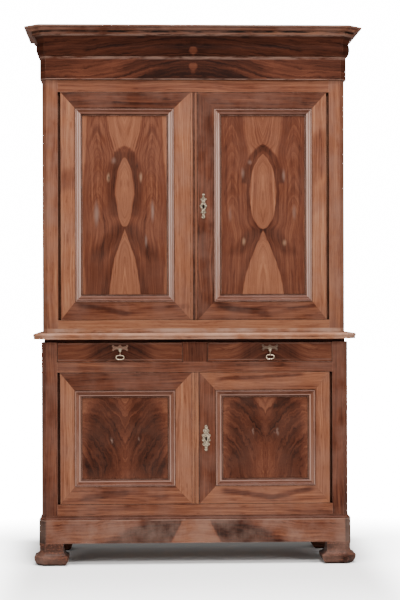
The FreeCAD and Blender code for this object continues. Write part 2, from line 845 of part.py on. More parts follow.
def drawer(x0, x1):
    """Drawer front with lapped dovetails, and its two sides, back and grooved bottom."""
    z0 = drawer_z + drawer_rise
    z1 = bearer_z - drawer_rise
    side_z1 = z0 + drawer_side_height
    face_back = lower_front + drawer_front_thickness
    end = lower_front + drawer_length
    back_front = end - drawer_side_thickness
    front = box(x0, x1, lower_front, face_back, z0, z1)
    back = box(x0, x1, back_front, end, z0, side_z1)
    sides = []
    for a in (x0, x1 - drawer_side_thickness):
        b = a + drawer_side_thickness
        board = box(a, b, face_back, back_front, z0, side_z1)
        ends = tails(a, b, face_back, lower_front + dovetail_lap, z0)
        ends += tails(a, b, back_front, end, z0)
        sides.append(board.multiFuse(ends).removeSplitter())
    inset = drawer_side_thickness - drawer_groove
    bottom_z = z0 + drawer_bottom_lift
    bottom = box(x0 + inset, x1 - inset, face_back - drawer_groove, back_front + drawer_groove,
                 bottom_z, bottom_z + drawer_bottom_thickness)
    front = front.cut(sides + [bottom])
    back = back.cut(sides + [bottom])
    sides = [side.cut(bottom) for side in sides]
    return front, sides + [back, bottom]


# The nodes.

parts = {}

lower_posts = front_post(lower_front, case_z, bearer_z, lower_open_z, mid_rail_z)
lower_levels = [(case_z, case_z + side_rail_height), (bearer_z - side_rail_height, bearer_z)]
frame, panels, posts = framed_side(lower_front, case_z, bearer_z, lower_levels, lower_posts)
lower_rear_rail_z = drawer_z - runner_height
lower_rear_levels = [(case_z, case_z + side_rail_height), (lower_rear_rail_z, bearer_z)]
lower_frame = frame + rear_rails(lower_rear_levels)
parts["lower_front_posts"] = posts
parts["lower_side_and_rear_frame"] = lower_frame
parts["lower_side_panels"] = panels
parts["lower_front_rails"] = [
    front_rail(lower_front, case_z, lower_open_z, pin_holes(lower_front, lower_open_z, False)),
    front_rail(lower_front, mid_rail_z, drawer_z,
               pin_holes(lower_front, mid_rail_z, True) + [bolt_hole(lower_front, mid_rail_z)])]
parts["drawer_divider"] = [box(-divider_width / 2, divider_width / 2, lower_front,
                               lower_front + rail_depth, drawer_z, bearer_z)]
board_front = door_thickness + stop_gap
parts["lower_floor_board"] = [case_board(
    lower_front, lower_open_z, case_board_thickness, lower_front + board_front, boards_y,
    posts + lower_frame)]
parts["lower_back_boards"] = back_boards(case_z, bearer_z)
lower_shelf_z = lower_open_z + lower_opening_height / 2
parts["lower_shelf"] = [shelf(lower_front, lower_shelf_z)]
parts["lower_shelf_cleats"] = cleats(lower_front, lower_shelf_z)
parts["drawer_runners"] = drawer_runners()
parts["waist_bearers"] = waist_bearers()
parts["waist_board"] = [waist_board()]
parts["plinth_lengths"] = plain_course(lower_front, plinth_out, plinth_thickness, plinth_z,
                                       case_z)
parts["base_moulding_lengths"] = base_moulding()
parts["front_feet"] = feet(False)
parts["rear_feet"] = feet(True)
parts["locating_pegs"] = peg_cylinders(0)
parts["lower_hinge_pins"] = hinge_pins(lower_front, lower_open_z, mid_rail_z)

upper_posts = front_post(upper_front, upper_case_z, frieze_z, upper_open_z, upper_top_rail_z)
upper_middle = (upper_case_z + frieze_z - upper_mid_rail_height) / 2
upper_levels = [(upper_case_z, upper_case_z + side_rail_height),
                (upper_middle, upper_middle + upper_mid_rail_height),
                (frieze_z - side_rail_height, frieze_z)]
frame, panels, posts = framed_side(upper_front, upper_case_z, frieze_z, upper_levels, upper_posts)
upper_frame = frame + rear_rails([upper_levels[0], upper_levels[-1]])
parts["upper_front_posts"] = posts
parts["upper_side_and_rear_frame"] = upper_frame
parts["upper_side_panels"] = panels
parts["upper_front_rails"] = [
    front_rail(upper_front, upper_case_z, upper_open_z,
               pin_holes(upper_front, upper_open_z, False)),
    front_rail(upper_front, upper_top_rail_z, frieze_z, pin_holes(
        upper_front, upper_top_rail_z, True) + [bolt_hole(upper_front, upper_top_rail_z)])]
parts["upper_base_lengths"] = upper_base()
parts["upper_floor_board"] = [case_board(
    upper_front, upper_open_z, case_board_thickness, upper_front + board_front, boards_y,
    posts + upper_frame)]
ceiling_z = frieze_z - case_board_thickness
cornice_inner = half_width - cornice_inset
parts["upper_top_boards"] = [
    box(-side_rail_x, side_rail_x, upper_front + rail_depth, rear_rail_y, ceiling_z, frieze_z)
    .cut(posts + upper_frame),
    box(-half_width, half_width, upper_front, back_y, crown_z, crown_z + back_board_thickness)
    .common(plan_prism(canted_corners(upper_front), crown_z, top_z)),
    box(-cornice_inner, cornice_inner, back_y - case_board_thickness, back_y, frieze_z, crown_z)]
parts["upper_back_boards"] = back_boards(upper_case_z, frieze_z)
shelf_pitch = upper_opening_height / (upper_shelf_count + 1)
shelf_levels = [upper_open_z + shelf_pitch * (i + 1) for i in range(upper_shelf_count)]
parts["upper_shelves"] = [shelf(upper_front, z) for z in shelf_levels]
parts["upper_shelf_cleats"] = [c for z in shelf_levels for c in cleats(upper_front, z)]
parts["frieze_lengths"] = plain_course(upper_front, frieze_out, frieze_out + cornice_inset,
                                       frieze_z, ogee_z)
parts["cornice_ogee_lengths"] = course(upper_front, ogee_shares, ogee_out, ogee_height, ogee_z,
                                       cornice_inset)
parts["cornice_crown_lengths"] = course(upper_front, crown_shares, crown_out, crown_height,
                                        crown_z, 0)
parts["upper_hinge_pins"] = hinge_pins(upper_front, upper_open_z, upper_top_rail_z)

door_outer = opening_half - door_hinge_gap
meet = strip_width / 2
cases = {
    "upper": (upper_front, upper_open_z, upper_top_rail_z, upper_door_bottom_rail_height,
              upper_door_top_rail_height, upper_lock_rise, upper_escutcheon_from_edge,
              upper_escutcheon_shares, upper_escutcheon_width, upper_escutcheon_height),
    "lower": (lower_front, lower_open_z, mid_rail_z, lower_door_rail_height,
              lower_door_rail_height, lower_lock_rise, lower_escutcheon_from_edge,
              lower_escutcheon_shares, lower_escutcheon_width, lower_escutcheon_height)}
for case, sizes in cases.items():
    front, open_z0, open_z1, low_rail, high_rail, lock_rise, key_from_edge = sizes[:7]
    z0 = open_z0 + door_rail_gap
    z1 = open_z1 - door_rail_gap
    pivots = pin_holes(front, z0, True) + pin_holes(front, z1, False)
    lock_z = z0 + lock_rise
    right_edge = meet + door_meeting_gap
    key_x = right_edge + key_from_edge
    left_frame, left_panel = door(
        -door_outer, -meet, (door_hinge_stile_width, door_meeting_stile_width), front, z0, z1,
        low_rail, high_rail, pivots)
    right_frame, right_panel = door(
        right_edge, door_outer, (door_meeting_stile_width, door_hinge_stile_width), front, z0, z1,
        low_rail, high_rail, pivots + [keyhole(key_x, front, lock_z, door_thickness)])
    parts[case + "_left_door_frame"] = left_frame
    parts[case + "_left_door_panel"] = [left_panel]
    parts[case + "_meeting_strip"] = [meeting_strip(front, z0, z1)]
    parts[case + "_right_door_frame"] = right_frame
    parts[case + "_right_door_panel"] = [right_panel]
    lock_case, lock_bolt = lock_case_and_bolt(right_edge, front, lock_z)
    parts[case + "_lock_case"] = [lock_case]
    parts[case + "_lock_bolt"] = [lock_bolt]
    plate, bar = slide_bolt(front, z1)
    parts[case + "_left_door_irons"] = [plate, lock_keeper(front, lock_z)]
    parts[case + "_slide_bolt"] = [bar]
    parts[case + "_escutcheon"] = [escutcheon(*sizes[7:], key_x, front, lock_z)]

drawer_x0 = divider_width / 2 + drawer_gap
drawer_x1 = opening_half - drawer_gap
pull_x = (drawer_x0 + drawer_x1) / 2
pull_z = (drawer_z + bearer_z) / 2
for side, way in (("left", -1), ("right", 1)):
    ends = sorted((way * drawer_x0, way * drawer_x1))
    front_board, carcass = drawer(*ends)
    parts[side + "_drawer_front"] = [front_board]
    parts[side + "_drawer_box"] = carcass
    parts[side + "_pull_plate"] = [pull_plate(way * pull_x, lower_front, pull_z)]
    parts[side + "_pull_ring"] = [pull_ring(way * pull_x, lower_front, pull_z)]

os.makedirs("parts", exist_ok=True)
for name, solids in parts.items():
    shape = solids[0] if len(solids) == 1 else Part.makeCompound(solids)
    shape.exportStep("parts/" + name + ".step")
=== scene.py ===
import math

import bpy
from mathutils import Matrix, Vector

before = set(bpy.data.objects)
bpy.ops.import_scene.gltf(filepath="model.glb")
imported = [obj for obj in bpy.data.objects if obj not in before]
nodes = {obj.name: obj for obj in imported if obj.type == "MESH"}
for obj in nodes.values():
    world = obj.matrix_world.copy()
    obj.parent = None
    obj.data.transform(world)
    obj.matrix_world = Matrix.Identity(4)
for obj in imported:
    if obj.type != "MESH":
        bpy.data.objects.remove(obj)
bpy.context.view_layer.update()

# The camera, fitted to the corners of the cupboard. Lengths are in metres and turns in radians.
PICTURE_WIDE = 400
PICTURE_HIGH = 600
CAMERA_PLACE = (-0.257, -7.4615, 1.173)
CAMERA_TURN = 0.0387
CAMERA_TILT = -0.0038
CAMERA_ROLL = 0.0028
CAMERA_FOCAL_PIXELS = 1625.3
CAMERA_DROP_PIXELS = 6.2
SENSOR = 36

# The studio: floor, ambient light, and how bright the surround looks.
FLOOR_SIZE = 60
PALE_FLOOR = (0.86, 0.845, 0.83)
AMBIENT = 0.25
SURROUND_GLOW = 16
SHADE_HALF_WIDTH = 0.68
SHADE_HALF_DEPTH = 0.42
FRONT_GLOW_SHARE = 0.12
GLOW_REACH = 1.35
NEAR_REACH = 0.25
NEAR_GLOW = 3

# The two cases: heights of each door's foot and top, and of its bottom and top rails.
CASES = {
    "lower": {"doors": (0.269, 0.851), "rails": (0.078, 0.078)},
    "upper": {"doors": (1.085, 2.107), "rails": (0.081, 0.071)},
}
DOOR_SPANS = {"left": (-0.598, -0.016), "right": (0.018, 0.598)}
HINGE_STILE = 0.064
MEETING_STILE = 0.073

# Colours of the finishes, as red, green and blue light shares.
UMBER = (0.0080, 0.0026, 0.0016)
DARK_WALNUT = (0.0290, 0.0082, 0.0042)
RED_WALNUT = (0.0560, 0.0168, 0.0086)
MID_WALNUT = (0.0880, 0.0314, 0.0160)
LIGHT_WALNUT = (0.1310, 0.0500, 0.0252)
SAPWOOD = (0.1720, 0.0755, 0.0395)
DUSTY_EDGE = (0.1900, 0.1000, 0.0700)
GREYED_WALNUT = (0.1150, 0.0620, 0.0460)
# Pale lines along moulding and drawer edges: part wear, part painted highlight.
WEAR_AND_HIGHLIGHT_LINE = (0.1450, 0.0850, 0.0640)
# Painted highlight on the mouldings' slopes, where the side lamps would shine.
PAINTED_HIGHLIGHT = (0.3900, 0.2750, 0.2300)
WORN_WAIST = (0.2150, 0.1330, 0.1000)
DUSTY_PLINTH = (0.1450, 0.0920, 0.0720)
# Near black, for grime and painted shade in corners, crevices and painted holes.
GRIME_AND_SHADE = (0.0050, 0.0032, 0.0025)
RAW_PINE = (0.1800, 0.1000, 0.0480)
RAW_PINE_DARK = (0.0800, 0.0380, 0.0170)
BROWNED_PINE = (0.1250, 0.0640, 0.0290)
PALE_BRASS = (0.5200, 0.4100, 0.2900)
TARNISH = (0.1300, 0.0980, 0.0640)
IRON = (0.0600, 0.0520, 0.0470)
RUST = (0.0600, 0.0240, 0.0120)


class Wires:
    """Adds nodes to a shader tree. Every call takes sockets or plain values and gives a socket."""

    def __init__(self, tree):
        self.tree = tree

    def node(self, kind, settings=None, **inputs):
        made = self.tree.nodes.new(kind)
        for name, value in (settings or {}).items():
            setattr(made, name, value)
        for name, value in inputs.items():
            self.feed(made.inputs[name.replace("_", " ")], value)
        return made

    def feed(self, socket, value):
        if isinstance(value, bpy.types.NodeSocket):
            self.tree.links.new(value, socket)
        elif socket.type == "RGBA" and len(value) == 3:
            socket.default_value = (*value, 1)
        else:
            socket.default_value = value

    def math(self, operation, first, second=0.0, third=0.0, clamp=False):
        made = self.node("ShaderNodeMath", {"operation": operation, "use_clamp": clamp})
        for socket, value in zip(made.inputs, (first, second, third)):
            self.feed(socket, value)
        return made.outputs[0]

    def add(self, first, second):
        return self.math("ADD", first, second)

    def less(self, first, second):
        return self.math("SUBTRACT", first, second)

    def times(self, first, second):
        return self.math("MULTIPLY", first, second)

    def sized(self, value):
        return self.math("ABSOLUTE", value)

    def top(self, first, second):
        return self.math("MAXIMUM", first, second)

    def low(self, first, second):
        return self.math("MINIMUM", first, second)

    def split(self, vector):
        return self.node("ShaderNodeSeparateXYZ", Vector=vector).outputs

    def join(self, x, y, z):
        return self.node("ShaderNodeCombineXYZ", X=x, Y=y, Z=z).outputs[0]

    def scaled(self, vector, scales):
        made = self.node("ShaderNodeVectorMath", {"operation": "MULTIPLY"})
        self.feed(made.inputs[0], vector)
        self.feed(made.inputs[1], scales)
        return made.outputs[0]

    def moved(self, vector, step):
        made = self.node("ShaderNodeVectorMath", {"operation": "ADD"})
        self.feed(made.inputs[0], vector)
        self.feed(made.inputs[1], step)
        return made.outputs[0]

    def noise(self, vector, scales, detail=2.0, roughness=0.5, distortion=0.0):
        made = self.node("ShaderNodeTexNoise", Vector=self.scaled(vector, scales), Scale=1.0,
                         Detail=detail, Roughness=roughness, Distortion=distortion)
        return made.outputs["Fac"]

    def ramp_up(self, value, low, high, smooth=True):
        """0 under low and 1 over high."""
        kind = "SMOOTHSTEP" if smooth else "LINEAR"
        made = self.node("ShaderNodeMapRange", {"interpolation_type": kind, "clamp": True},
                         Value=value, From_Min=low, From_Max=high)
        return made.outputs["Result"]

    def between(self, value, low, high, soft):
        """1 from low to high, fading out over soft on both sides."""
        return self.times(self.ramp_up(value, low - soft, low + soft),
                          self.ramp_up(self.times(value, -1.0), -high - soft, -high + soft))

    def mix(self, share, first, second):
        made = self.node("ShaderNodeMix", {"data_type": "FLOAT"})
        for socket, value in zip((made.inputs[0], made.inputs[2], made.inputs[3]),
                                 (share, first, second)):
            self.feed(socket, value)
        return made.outputs[0]

    def mix_vector(self, share, first, second):
        made = self.node("ShaderNodeMix", {"data_type": "VECTOR"})
        for socket, value in zip((made.inputs[0], made.inputs[4], made.inputs[5]),
                                 (share, first, second)):
            self.feed(socket, value)
        return made.outputs[1]

    def tint(self, share, first, second, blend="MIX"):
        made = self.node("ShaderNodeMix", {"data_type": "RGBA", "blend_type": blend})
        for socket, value in zip((made.inputs[0], made.inputs[6], made.inputs[7]),
                                 (share, first, second)):
            self.feed(socket, value)
        return made.outputs[2]

    def colours(self, value, stops):
        made = self.node("ShaderNodeValToRGB", Fac=value)
        ramp = made.color_ramp
        while len(ramp.elements) < len(stops):
            ramp.elements.new(1.0)
        for element, (place, colour) in zip(ramp.elements, stops):
            element.position = place
            element.color = (*colour, 1)
        return made.outputs["Color"]

    def profile(self, value, shares):
        """Smooth curve through (place share, height share) points."""
        made = self.node("ShaderNodeFloatCurve", Value=value)
        curve = made.mapping.curves[0]
        curve.points[0].location = shares[0]
        curve.points[1].location = shares[-1]
        for place in shares[1:-1]:
            curve.points.new(*place)
        made.mapping.update()
        return made.outputs[0]

    def leaf(self, u, z, low, high, half, shares, soft, centre=0.0, lean=0.0):
        """Mask of a leaf-shaped area between two heights, whose middle may lean sideways."""
        share = self.ramp_up(z, low, high, False)
        width = self.times(self.profile(share, shares), half)
        middle = self.add(centre, self.times(self.less(z, low), lean))
        inside = self.less(width, self.sized(self.less(u, middle)))
        return self.times(self.ramp_up(inside, -soft, soft), self.between(z, low, high, soft))

    def spot(self, x, z, place, sizes):
        """Round or oval mask, 1 in its middle and 0 past its edge."""
        across = self.math("DIVIDE", self.less(x, place[0]), sizes[0])
        up = self.math("DIVIDE", self.less(z, place[1]), sizes[1])
        reach = self.math("SQRT", self.add(self.times(across, across), self.times(up, up)))
        return self.less(1.0, self.ramp_up(reach, 0.0, 1.0))

    def group(self, tree, **inputs):
        made = self.node("ShaderNodeGroup", {"node_tree": tree}, **inputs)
        return made.outputs


def shader_group(name, inputs, outputs):
    """A new node group. Inputs and outputs are (name, kind, default) and (name, kind)."""
    tree = bpy.data.node_groups.new(name, "ShaderNodeTree")
    for label, kind, default in inputs:
        socket = tree.interface.new_socket(label, in_out="INPUT", socket_type="NodeSocket" + kind)
        if default is not None:
            socket.default_value = default
    for label, kind in outputs:
        tree.interface.new_socket(label, in_out="OUTPUT", socket_type="NodeSocket" + kind)
    wires = Wires(tree)
    source = tree.nodes.new("NodeGroupInput").outputs
    sink = tree.nodes.new("NodeGroupOutput").inputs
    return tree, wires, source, sink


def grain_group(name, stops):
    """Wood with bands, fibres and pores along the Z of its vector, coloured from dark to light."""
    tree, w, source, sink = shader_group(
        name, [("Vector", "Vector", None), ("Tone", "Float", 0.5), ("Streaks", "Float", 0.5)],
        [("Color", "Color"), ("Roughness", "Float"), ("Height", "Float")])
    vector = source["Vector"]
    warp = w.less(w.noise(vector, (7, 7, 1.6), 2), 0.5)
    bent = w.moved(vector, w.join(w.times(warp, 0.05), w.times(warp, 0.02), 0.0))
    bands = w.less(w.noise(bent, (40, 28, 1.4), 4, 0.68, 0.5), 0.5)
    lines = w.less(w.noise(bent, (130, 80, 3.2), 3, 0.6), 0.5)
    fibres = w.less(w.noise(bent, (380, 220, 8), 3, 0.6), 0.5)
    pores = w.noise(bent, (1500, 900, 42), 1)
    flecks = w.ramp_up(w.noise(bent, (75, 60, 12), 3, 0.6), 0.56, 0.72)
    blotches = w.less(w.noise(vector, (6, 6, 3), 4, 0.6), 0.5)
    streaks = w.add(w.times(bands, 1.25), w.add(w.times(lines, 1.35), w.times(fibres, 1.0)))
    value = w.add(source["Tone"], w.times(w.less(streaks, w.times(flecks, 0.35)),
                                          source["Streaks"]))
    value = w.add(value, w.times(blotches, 0.34))
    colour = w.colours(value, stops)
    open_pores = w.ramp_up(pores, 0.62, 0.72)
    colour = w.tint(w.times(open_pores, 0.45), colour, stops[1][1])
    w.feed(sink["Color"], colour)
    w.feed(sink["Roughness"], w.add(0.48, w.add(w.times(fibres, 0.2), w.times(blotches, 0.2))))
    w.feed(sink["Height"], w.less(w.times(fibres, 0.5), w.times(open_pores, 0.5)))
    return tree


def wear_group():
    """Masks of rubbed edges and of corners where grime and painted shade sit."""
    tree, w, source, sink = shader_group(
        "Wear, grime and painted shade", [("Edge Width", "Float", 0.0025), ("Corner Width", "Float", 0.012)],
        [("Edges", "Float"), ("Corners", "Float")])
    place = w.node("ShaderNodeTexCoord").outputs["Object"]
    rounded = w.node("ShaderNodeBevel", {"samples": 4}, Radius=source["Edge Width"])
    turned = w.node("ShaderNodeVectorMath", {"operation": "DOT_PRODUCT"})
    w.feed(turned.inputs[0], rounded.outputs[0])
    w.feed(turned.inputs[1], w.node("ShaderNodeNewGeometry").outputs["Normal"])
    bend = w.less(1.0, turned.outputs["Value"])
    rub = w.noise(place, (34, 34, 34), 4, 0.65)
    edges = w.times(w.ramp_up(bend, 0.01, 0.16), w.ramp_up(rub, 0.36, 0.62))
    # Painted shade: ambient occlusion finds corners and crevices, which are darkened with noise
    # patches as grime and shade.
    hidden = w.node("ShaderNodeAmbientOcclusion", {"samples": 6},
                    Distance=source["Corner Width"])
    corner_grime_and_shade = w.ramp_up(w.less(1.0, hidden.outputs["AO"]), 0.18, 0.62)
    patches = w.ramp_up(w.noise(place, (21, 21, 21), 3), 0.2, 0.55)
    w.feed(sink["Edges"], edges)
    w.feed(sink["Corners"], w.times(corner_grime_and_shade, patches))
    return tree


# How round the tips of a panel's arched grain are, and the tone of a plain back.
ARCH_ROUND = 0.012
BACK_TONE = 0.42

SCROLLS_PER_METRE = 170
KEYHOLE_SIZES = (0.0064, 0.0130)
BAND_FADE = 0.0009
RIB_TURNS = 26
# Painted shade lines along a door's moulding, in its quirks and at its edges: where each starts and
# ends, and how dark it is.
PAINTED_SHADE_LINES = ((-0.0014, 0.0012, 0.7), (0.0146, 0.0160, 0.45), (0.0268, 0.0310, 0.8))

WALNUT = grain_group("Walnut", [
    (0.0, UMBER), (0.2, DARK_WALNUT), (0.42, RED_WALNUT), (0.6, MID_WALNUT),
    (0.8, LIGHT_WALNUT), (1.0, SAPWOOD)])
INNER_WOOD = grain_group("Inner wood", [(0.0, RAW_PINE_DARK), (0.45, BROWNED_PINE),
                                        (1.0, RAW_PINE)])
WEAR = wear_group()


def surface(name):
    """An empty material with its wires and Object coordinates."""
    material = bpy.data.materials.new(name)
    material.use_nodes = True
    material.node_tree.nodes.clear()
    w = Wires(material.node_tree)
    return material, w, w.node("ShaderNodeTexCoord").outputs["Object"]


def waxed(material, w, place, colour, roughness, height, wax=0.03, gloss=0.28, edges=0.6, grime_and_shade=0.9,
          dust=0.3, greyed=GREYED_WALNUT, courses=()):
    """Closes a wood material: greyed patches, rubbed edges, grime and painted shade in corners and
    a coat of wax.

    Each of courses is (height, half width, strength, colour) of a line along the piece."""
    worn = w.group(WEAR)
    patches = w.times(w.ramp_up(w.noise(place, (9, 9, 9), 4, 0.6), 0.28, 0.74), dust)
    colour = w.tint(patches, colour, greyed)
    colour = w.tint(w.times(worn["Edges"], edges), colour, DUSTY_EDGE)
    if courses:
        breaks = w.ramp_up(w.noise(place, (11, 11, 60), 3, 0.6), 0.3, 0.6)
        level = w.split(place)["Z"]
    for middle, half, strength, tint in courses:
        mask = w.times(w.between(level, middle - half, middle + half, half * 0.5), breaks)
        colour = w.tint(w.times(mask, strength), colour, tint)
    # Grime and painted shade darken the corners.
    colour = w.tint(w.times(worn["Corners"], grime_and_shade), colour, GRIME_AND_SHADE)
    bump = w.node("ShaderNodeBump", Height=height, Distance=0.0006, Strength=0.35)
    shader = w.node("ShaderNodeBsdfPrincipled", Base_Color=colour, Roughness=roughness,
                    Normal=bump.outputs[0], Specular_IOR_Level=0.02,
                    Coat_Weight=wax, Coat_Roughness=gloss)
    output = w.node("ShaderNodeOutputMaterial")
    w.feed(output.inputs["Surface"], shader.outputs[0])
    return material


def along_z(w, place, seed=0.0):
    return w.moved(place, (seed, 0.0, seed * 3))


def along_x(w, place, seed=0.0):
    at = w.split(place)
    return w.join(w.add(at["Z"], seed), at["Y"], w.add(at["X"], seed * 3))


def along_y(w, place, seed=0.0):
    at = w.split(place)
    return w.join(w.add(at["X"], seed), w.add(at["Z"], seed), w.add(at["Y"], seed * 3))


def wood(name, grain, tone, streaks=0.5, seed=0.0, tones=(), chips=0.0, kind=WALNUT, **finish):
    """Plain wood with its grain one way. Each of tones is (low, high, soft, axis, step), and
    chips is how far knocks and small patches move the tone."""
    material, w, place = surface(name)
    at = w.split(place)
    value = tone
    for low, high, soft, axis, step in tones:
        value = w.add(value, w.times(w.between(at[axis], low, high, soft), step))
    if chips:
        knocks = w.less(w.noise(w.moved(place, (seed, 0.0, 0.0)), (95, 95, 130), 4, 0.7), 0.5)
        value = w.add(value, w.times(knocks, chips))
    made = w.group(kind, Vector=grain(w, place, seed), Tone=value, Streaks=streaks)
    return waxed(material, w, place, made["Color"], made["Roughness"], made["Height"], **finish)


def metal(name, bright, dull, roughness, wear, relief=0.0, keyhole=None, wings=None):
    """Old metal: dull all over, bright where it is rubbed, darkened in its corners by grime and
    painted shade.

    Relief is the depth of cast scrolls, whose hollows are darkened with painted shade and grime,
    keyhole is (x, z) of the middle of one, painted as a dark oval of shade, and wings are (x, z,
    reach, colour) of a plate that turns to that colour, with radiating stripes, past that reach."""
    material, w, place = surface(name)
    worn = w.group(WEAR, Edge_Width=0.0012, Corner_Width=0.004)
    cloud = w.ramp_up(w.noise(place, (90, 90, 90), 5, 0.7), 0.5 - wear, 0.5 + wear)
    scratches = w.noise(place, (700, 700, 90), 2)
    colour = w.tint(w.top(cloud, worn["Edges"]), dull, bright)
    # Grime and painted shade in the corners.
    colour = w.tint(w.times(worn["Corners"], 0.8), colour, GRIME_AND_SHADE)
    rough = w.add(roughness, w.times(w.less(scratches, cloud), 0.25))
    height = w.add(cloud, w.times(scratches, 0.4))
    if relief:
        scrolls = w.node("ShaderNodeTexVoronoi", {"feature": "SMOOTH_F1"},
                         Vector=w.scaled(place, (1.0, 0.2, 1.0)), Scale=SCROLLS_PER_METRE,
                         Smoothness=0.35).outputs["Distance"]
        hollows = w.ramp_up(scrolls, 0.34, 0.60)
        # Painted shade with grime: the hollows of the scrolls are darkened so that they look
        # pierced.
        colour = w.tint(w.times(hollows, 0.6), colour, GRIME_AND_SHADE)
        height = w.less(height, w.times(hollows, relief))
    at = w.split(place)
    if keyhole:
        hole = w.spot(at["X"], at["Z"], keyhole, KEYHOLE_SIZES)
        # Painted shade: the keyhole is a dark oval painted on the plate.
        colour = w.tint(w.ramp_up(hole, 0.05, 0.25), colour, GRIME_AND_SHADE)
    if wings:
        x, z, reach, wing_colour = wings
        far = w.less(1.0, w.ramp_up(w.spot(at["X"], at["Z"], (x, z), (reach, reach)), 0.0, 0.3))
        rays = w.math("ARCTAN2", w.less(at["Z"], z), w.sized(w.less(at["X"], x)))
        ribs = w.math("SINE", w.times(rays, RIB_TURNS))
        colour = w.tint(w.times(far, w.add(0.8, w.times(ribs, 0.2))), colour, wing_colour)
    bump = w.node("ShaderNodeBump", Height=height, Distance=0.0003, Strength=0.5)
    shader = w.node("ShaderNodeBsdfPrincipled", Base_Color=colour, Metallic=0.85, Roughness=rough,
                    Normal=bump.outputs[0])
    w.feed(w.node("ShaderNodeOutputMaterial").inputs["Surface"], shader.outputs[0])
    return material


def door_frame(case, side, tones, sweeps, seed, highlight_bands):
    """Mitred stiles and rails of one door, with the mouldings round its panel.

    Each of sweeps is (x, z) of one end, (x, z) of the other, half width and tone step. Each of
    highlight_bands is a painted highlight along the mouldings: where it starts and ends, and how
    pale it is upright and level."""
    sizes = CASES[case]
    x0, x1 = DOOR_SPANS[side]
    z0, z1 = sizes["doors"]
    material, w, place = surface("%s %s door frame" % (case, side))
    at = w.split(place)
    stiles = (HINGE_STILE, MEETING_STILE) if side == "left" else (MEETING_STILE, HINGE_STILE)
    right = w.ramp_up(at["X"], (x0 + x1) / 2 - 0.001, (x0 + x1) / 2 + 0.001, False)
    upper = w.ramp_up(at["Z"], (z0 + z1) / 2 - 0.001, (z0 + z1) / 2 + 0.001, False)
    in_x = w.low(w.less(at["X"], x0), w.less(x1, at["X"]))
    in_z = w.mix(upper, w.less(at["Z"], z0), w.less(z1, at["Z"]))
    rail = w.mix(upper, sizes["rails"][0], sizes["rails"][1])
    stile = w.mix(right, *stiles)
    past_x = w.less(in_x, stile)
    past_z = w.less(in_z, rail)
    inside = w.math("GREATER_THAN", w.low(past_x, past_z), -0.0002)
    over_mitre = w.less(w.math("DIVIDE", in_x, stile), w.math("DIVIDE", in_z, rail))
    on_stile = w.math("LESS_THAN", over_mitre, 0.0)
    on_side = w.math("LESS_THAN", past_x, past_z)
    upright = w.mix(inside, on_stile, on_side)
    grain = w.mix_vector(upright, along_x(w, place, seed), along_z(w, place, seed + 1))
    left_stile, right_stile, bottom_rail, top_rail = tones
    tone = w.mix(upright, w.mix(upper, bottom_rail, top_rail),
                 w.mix(right, left_stile, right_stile))
    for (xa, za), (xb, zb), half, step in sweeps:
        rise = w.times(w.less(at["X"], xa), (zb - za) / (xb - xa))
        off = w.less(w.less(at["Z"], za), rise)
        off = w.add(off, w.times(w.less(w.noise(place, (9, 9, 9), 2), 0.5), half * 2))
        reach = w.between(at["X"], min(xa, xb), max(xa, xb), 0.02)
        tone = w.add(tone, w.times(w.times(w.between(off, -half, half, half * 0.6), reach), step))
    # Painted light: upright mouldings are toned lighter than level ones, as the side lamps would
    # light them.
    tone = w.mix(inside, tone, w.mix(on_side, 0.38, 0.58))
    made = w.group(WALNUT, Vector=grain, Tone=tone, Streaks=w.mix(inside, 0.55, 0.35))
    past = w.low(past_x, past_z)
    colour = made["Color"]
    # Painted highlight: pale bands along the mouldings, paler upright than level.
    for low, high, upright_highlight, level_highlight in highlight_bands:
        highlight = w.times(inside, w.between(past, low, high, BAND_FADE))
        highlight = w.times(highlight, w.ramp_up(w.noise(grain, (40, 40, 3), 3, 0.6), 0.2, 0.5))
        highlight = w.times(highlight, w.mix(on_side, level_highlight, upright_highlight))
        colour = w.tint(highlight, colour, PAINTED_HIGHLIGHT)
    # Painted shade: dark lines in the moulding's quirks and along its edges.
    for low, high, strength in PAINTED_SHADE_LINES:
        shade_line = w.between(past, low, high, BAND_FADE)
        colour = w.tint(w.times(shade_line, strength), colour, UMBER)
    joint = w.times(w.less(1.0, inside),
                    w.less(1.0, w.ramp_up(w.sized(over_mitre), 0.0, 0.012)))
    colour = w.tint(w.times(joint, 0.7), colour, UMBER)
    return waxed(material, w, place, colour, made["Roughness"], made["Height"],
                 wax=w.mix(w.times(inside, on_side), 0.03, 0.5), gloss=0.16)


